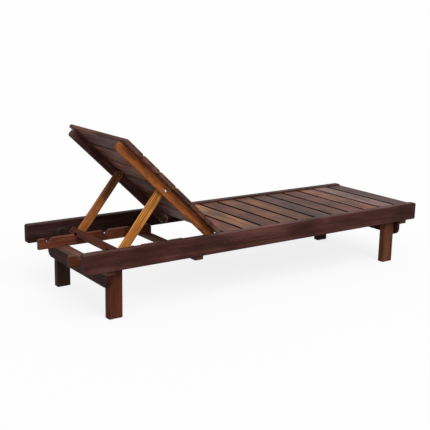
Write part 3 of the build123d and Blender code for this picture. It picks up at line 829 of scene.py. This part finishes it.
def finished_piece(name, mesh, material, body, node):
    """Puts a mesh in the scene in place of its CAD node, riding on the same body."""
    bmesh.ops.recalc_face_normals(mesh, faces=mesh.faces)
    data = bpy.data.meshes.new(name)
    mesh.to_mesh(data)
    mesh.free()
    data.materials.append(material)
    piece = bpy.data.objects.new(name, data)
    bpy.context.scene.collection.objects.link(piece)
    for face in data.polygons:
        face.use_smooth = len(face.vertices) == 4
    data.set_sharp_from_angle(angle=SHARP_EDGE)
    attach(piece, body)
    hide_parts(node)
    return piece


def body_with(node):
    """The name of the body that holds a CAD node."""
    bodies = frame["record"]["behaviour"]["bodies"]
    return next(name for name, nodes in bodies.items() if node in nodes)


# Operators

class DressOperator:
    """What the lounger's operators share"""
    bl_options = {"REGISTER", "UNDO"}


class LOUNGER_OT_rails(DressOperator, bpy.types.Operator):
    """Dark reddish hardwood on the two side rails"""
    bl_idname = "lounger.rails"
    bl_label = "Side rails"

    def execute(self, context):
        wood = context.scene.lounger.frame_wood
        for side, sheen in zip(SIDES, (0.5, 0.38)):
            node, base = f"{side}_side_rail", getattr(wood, f"{side}_rail")
            dress(node, plank_material(
                node, ALONG_RAILS, base, figure=1.2, sheen=sheen, mottle=0.9))
        return {"FINISHED"}


class LOUNGER_OT_legs(DressOperator, bpy.types.Operator):
    """Upright grain on the four legs"""
    bl_idname = "lounger.legs"
    bl_label = "Legs"

    def execute(self, context):
        wood = context.scene.lounger.frame_wood
        for side in SIDES:
            for end in ("head", "foot"):
                node = f"{side}_{end}_leg"
                figure = 2.0 if node == "right_foot_leg" else 1.0
                dress(node, plank_material(
                    node, UPRIGHT, getattr(wood, node), figure=figure, sheen=0.5))
        return {"FINISHED"}


class LOUNGER_OT_cross_members(DressOperator, bpy.types.Operator):
    """Cross grain on the aprons and the battens under the rails"""
    bl_idname = "lounger.cross_members"
    bl_label = "Aprons and cross battens"

    def execute(self, context):
        wood = context.scene.lounger.frame_wood
        for node in ("head_apron", "foot_apron"):
            dress(node, plank_material(node, ACROSS, wood.aprons, sheen=0.4))
        for node in ("head_cross_batten", "middle_cross_batten", "foot_cross_batten"):
            dress(node, plank_material(node, ACROSS, wood.cross))
        return {"FINISHED"}


class LOUNGER_OT_ratchets(DressOperator, bpy.types.Operator):
    """Orange brown wood on the notched ratchet boards, and plain wood on the ledgers"""
    bl_idname = "lounger.ratchets"
    bl_label = "Ratchet boards and ledgers"

    def execute(self, context):
        wood = context.scene.lounger.frame_wood
        for side in SIDES:
            board = f"{side}_ratchet_board"
            dress(board, plank_material(
                board, ALONG_RAILS, wood.ratchets, heart=RATCHET_DARK_STRETCHES[side]))
            for ledger in (f"{side}_seat_ledger", f"{side}_foot_ledger"):
                dress(ledger, plank_material(ledger, ALONG_RAILS, wood.ledgers))
        return {"FINISHED"}


class LOUNGER_OT_seat_slats(DressOperator, bpy.types.Operator):
    """A different board for each seat slat"""
    bl_idname = "lounger.seat_slats"
    bl_label = "Seat slats"

    def execute(self, context):
        wood = context.scene.lounger.seat_wood
        # painted shade between the seat slats
        grime = context.scene.lounger.character.grime
        for number in range(1, 12):
            node, base = f"seat_slat_{number:02d}", getattr(wood, f"slat_{number:02d}")
            dress(node, plank_material(
                node, ACROSS, base, figure=1.1, grime=grime, mottle=1.5, pale=0.93,
                rim=SLAT_SHADE_RIM))
        return {"FINISHED"}


class LOUNGER_OT_back_slats(DressOperator, bpy.types.Operator):
    """A different board for each slat of the backrest"""
    bl_idname = "lounger.back_slats"
    bl_label = "Backrest slats"

    def execute(self, context):
        wood = context.scene.lounger.back_wood
        # a lighter share of painted shade between the backrest's slats
        grime = context.scene.lounger.character.grime * BACK_SHADE
        for number in range(1, 7):
            node, base = f"back_slat_{number}", getattr(wood, f"slat_{number}")
            dress(node, plank_material(
                node, ACROSS_BACK, base, figure=1.2, grime=grime, sheen=0.5, mottle=1.2))
        return {"FINISHED"}


class LOUNGER_OT_arms(DressOperator, bpy.types.Operator):
    """The backrest's battens, the prop's struts and its bar"""
    bl_idname = "lounger.arms"
    bl_label = "Battens and prop"

    def execute(self, context):
        wood = context.scene.lounger.back_wood
        # the left strut gets painted shadow over its upper part
        for side, golden, heart in zip(SIDES, (1.0, 0.4), (None, STRUT_SHADOW)):
            node, base = f"{side}_back_batten", getattr(wood, f"{side}_batten")
            dress(node, plank_material(
                node, ALONG_BACK, base, figure=2.2, golden=golden / 2, sheen=0.5,
                fineness=2.2))
            node, base = f"{side}_prop_strut", getattr(wood, f"{side}_strut")
            dress(node, plank_material(
                node, ALONG_PROP, base, figure=1.8, heart=heart, golden=golden, sheen=0.7,
                fineness=2.6))
        dress("prop_crossbar", plank_material(
            "prop_crossbar", ACROSS_PROP, wood.crossbar, sheen=0.3))
        return {"FINISHED"}


class LOUNGER_OT_screws(DressOperator, bpy.types.Operator):
    """Cross-recessed wood screws in every screw's place"""
    bl_idname = "lounger.screws"
    bl_label = "Wood screws"

    def execute(self, context):
        hardware = context.scene.lounger.hardware
        steel = steel_material("screw_steel", hardware.screw_steel, roughness=0.42, tarnish=0.5)
        for node in ("apron_screws", "cross_batten_screws", "ratchet_screws", "ledger_screws",
                     "seat_slat_screws", "back_slat_screws", "crossbar_screws"):
            chance = random.Random(node)
            mesh = bmesh.new()
            for points in solids_of(node):
                ends = sorted(flat_ends(points), key=lambda end: end[0])
                (radius, tip), (head_radius, head) = ends
                direction = (tip - head).normalized()
                rim = [(point - head).dot(direction) for point in points
                       if (point - head).cross(direction).length > head_radius * 0.9]
                head_height = min(depth for depth in rim if depth > BELOW_TOP)
                placing = set_along(head, direction, chance.uniform(0, QUARTER_TURN))
                cross_screw(mesh, placing, head_radius, head_height, radius,
                            (tip - head).length, hardware.recess_depth)
            finished_piece(f"detailed_{node}", mesh, steel, body_with(node), node)
        return {"FINISHED"}


class LOUNGER_OT_bolts(DressOperator, bpy.types.Operator):
    """Coach bolts, chamfered nuts, washers and sleeves"""
    bl_idname = "lounger.bolts"
    bl_label = "Bolts, nuts and sleeves"

    def execute(self, context):
        hardware = context.scene.lounger.hardware
        bright = steel_material("bolt_steel", hardware.steel, roughness=0.24, tarnish=0.35)
        dark = steel_material("dark_bolt_steel", hardware.dark_steel, roughness=0.38, tarnish=0.5)
        # the prop bolts' heads keep a bright crown as a painted highlight
        pivot = mean(solids_of("prop_pivot_bolts")[0])
        glinting = steel_material(
            "prop_bolt_steel", hardware.glint_steel, roughness=0.20, tarnish=0.1,
            crown=(tuple(pivot), hardware.crown))
        for node, material in (
                ("leg_bolts", dark), ("back_pivot_bolts", dark), ("prop_pivot_bolts", glinting)):
            self.make_bolts(node, material, hardware.thread_pitch)
        for node in ("leg_nuts", "back_pivot_nuts", "prop_pivot_nuts", "prop_pivot_washers"):
            self.make_rings(node, dark)
        self.make_rings("back_pivot_sleeves", bright)
        return {"FINISHED"}

    def make_bolts(self, node, material, pitch):
        """Replaces the bolts of one node, which have their heads on the outside."""
        mesh = bmesh.new()
        for points in solids_of(node):
            ends = sorted(flat_ends(points), key=lambda end: abs(end[1].y))
            (radius, tip), (_, head) = ends
            zone = [point for point in points if abs(point.y - head.y) < HEAD_ZONE]
            head_radius = max(off_axis(point, tip) for point in zone)
            rim = [point.y for point in zone if off_axis(point, tip) > head_radius * 0.98]
            seat = min(rim, key=abs)
            dome_bolt(mesh, set_inward(tip, seat), head_radius, abs(head.y - seat), radius,
                      abs(tip.y - seat), pitch)
        finished_piece(f"detailed_{node}", mesh, material, body_with(node), node)

    def make_rings(self, node, material):
        """Replaces the nuts, washers or sleeves of one node."""
        mesh = bmesh.new()
        for points in solids_of(node):
            centre = (Vector(map(min, *points)) + Vector(map(max, *points))) / 2
            side = math.copysign(1.0, centre.y)
            places = [(off_axis(point, centre), abs(point.y)) for point in points]
            widest, bore = max(places)[0], min(places)[0]
            outer, inner = max(y for _, y in places), min(y for _, y in places)
            placing = set_inward(centre, side * outer)
            if node == "back_pivot_nuts":
                seat = min(y for span, y in places if span > widest * 0.97)
                thickness = outer - seat
                round_ring(mesh, placing, widest, bore, thickness)
                corner = max(span for span, y in places if y < outer - thickness * 1.5)
                hexagon_nut(mesh, set_inward(centre, side * seat), corner, bore, seat - inner)
            elif node.endswith("nuts"):
                hexagon_nut(mesh, placing, widest, bore, outer - inner)
            else:
                round_ring(mesh, placing, widest, bore, outer - inner)
        finished_piece(f"detailed_{node}", mesh, material, body_with(node), node)


class LOUNGER_OT_stage(DressOperator, bpy.types.Operator):
    """White floor, soft light, and the camera at the photograph's place"""
    bl_idname = "lounger.stage"
    bl_label = "Studio and camera"

    def execute(self, context):
        studio = context.scene.lounger.studio
        self.make_world(context.scene, studio)
        self.make_floor(context.scene, studio)
        self.make_lamp(context.scene, studio)
        self.make_camera(context.scene, studio)
        context.scene.view_settings.view_transform = "Standard"
        return {"FINISHED"}

    def make_world(self, scene, studio):
        """An even sky that looks white."""
        world = bpy.data.worlds.new("studio_world")
        world.use_nodes = True
        tree = world.node_tree
        tree.nodes.clear()
        sky, white = (add(tree, "ShaderNodeBackground", [("Color", WHITE), ("Strength", strength)])
                      for strength in (studio.sky, studio.white))
        end_tree(tree, "ShaderNodeOutputWorld", sky, white)
        scene.world = world

    def make_floor(self, scene, studio):
        """A grey floor that looks white and keeps some of the shadow."""
        mesh = bmesh.new()
        bmesh.ops.create_grid(mesh, x_segments=1, y_segments=1, size=FLOOR_REACH)
        data = bpy.data.meshes.new("studio_floor")
        mesh.to_mesh(data)
        mesh.free()
        floor = bpy.data.objects.new("studio_floor", data)
        scene.collection.objects.link(floor)
        material, tree, _ = new_material("studio_floor_paint")
        tree.nodes.clear()
        shadow = (studio.shadow, studio.shadow, studio.shadow)
        paint, faint = (add(tree, "ShaderNodeBsdfDiffuse", [("Color", (*tone, 1.0))])
                        for tone in (studio.floor, shadow))
        rise = Vector(studio.key_aim).normalized().z
        lit = studio.sky + studio.key * rise / math.pi
        glow = add(tree, "ShaderNodeEmission", [
            ("Color", WHITE), ("Strength", studio.white - studio.shadow * lit)])
        pale = add(tree, "ShaderNodeAddShader", [(0, faint.outputs[0]), (1, glow.outputs[0])])
        end_tree(tree, "ShaderNodeOutputMaterial", paint, pale)
        data.materials.append(material)

    def make_lamp(self, scene, studio):
        """One large soft lamp."""
        data = bpy.data.lights.new("key_lamp", "SUN")
        data.energy, data.angle = studio.key, studio.key_spread
        lamp = bpy.data.objects.new("key_lamp", data)
        scene.collection.objects.link(lamp)
        lamp.location = Vector(studio.key_aim).normalized() * LAMP_DISTANCE
        lamp.rotation_euler = lamp.location.to_track_quat("Z", "Y").to_euler()

    def make_camera(self, scene, studio):
        """The photograph's view."""
        data = bpy.data.cameras.new("photo_camera")
        data.sensor_width, data.lens = SENSOR_WIDTH, studio.lens
        data.shift_x, data.shift_y = studio.shift
        data.clip_start, data.clip_end = CLIP_RANGE
        camera = bpy.data.objects.new("photo_camera", data)
        scene.collection.objects.link(camera)
        yaw, dip = studio.camera_yaw, studio.camera_dip
        ahead = Vector((
            math.cos(yaw) * math.cos(dip), math.sin(yaw) * math.cos(dip), -math.sin(dip)))
        right = ahead.cross(Vector((0.0, 0.0, 1.0))).normalized()
        up = right.cross(ahead)
        roll = Matrix.Rotation(studio.camera_roll, 3, -ahead)
        facing = Matrix((roll @ right, roll @ up, -ahead)).transposed().to_4x4()
        camera.matrix_world = Matrix.Translation(studio.camera_place) @ facing
        scene.camera = camera


class LOUNGER_PT_panel(bpy.types.Panel):
    """Lists the lounger's pieces and settings"""
    bl_idname = "LOUNGER_PT_panel"
    bl_label = "Sun lounger"
    bl_space_type = "VIEW_3D"
    bl_region_type = "UI"
    bl_category = "Lounger"

    def draw(self, context):
        settings = context.scene.lounger
        for operator in OPERATORS:
            self.layout.operator(operator.bl_idname)
        for group in (settings.frame_wood, settings.seat_wood, settings.back_wood,
                      settings.character, settings.hardware, settings.studio):
            box = self.layout.box()
            for name in group.__annotations__:
                box.prop(group, name)


SETTINGS = (FrameWood, SeatWood, BackWood, WoodCharacter, Hardware, Studio, LoungerSettings)
OPERATORS = (
    LOUNGER_OT_rails, LOUNGER_OT_legs, LOUNGER_OT_cross_members, LOUNGER_OT_ratchets,
    LOUNGER_OT_seat_slats, LOUNGER_OT_back_slats, LOUNGER_OT_arms, LOUNGER_OT_screws,
    LOUNGER_OT_bolts, LOUNGER_OT_stage,
)


def register():
    for made in (*SETTINGS, *OPERATORS, LOUNGER_PT_panel):
        bpy.utils.register_class(made)
    bpy.types.Scene.lounger = PointerProperty(type=LoungerSettings)


def unregister():
    del bpy.types.Scene.lounger
    for made in reversed((*SETTINGS, *OPERATORS, LOUNGER_PT_panel)):
        bpy.utils.unregister_class(made)


def main():
    register()
    bpy.ops.lounger.rails()
    bpy.ops.lounger.legs()
    bpy.ops.lounger.cross_members()
    bpy.ops.lounger.ratchets()
    bpy.ops.lounger.seat_slats()
    bpy.ops.lounger.back_slats()
    bpy.ops.lounger.arms()
    bpy.ops.lounger.screws()
    bpy.ops.lounger.bolts()
    bpy.ops.lounger.stage()


if __name__ == "__main__":
    main()
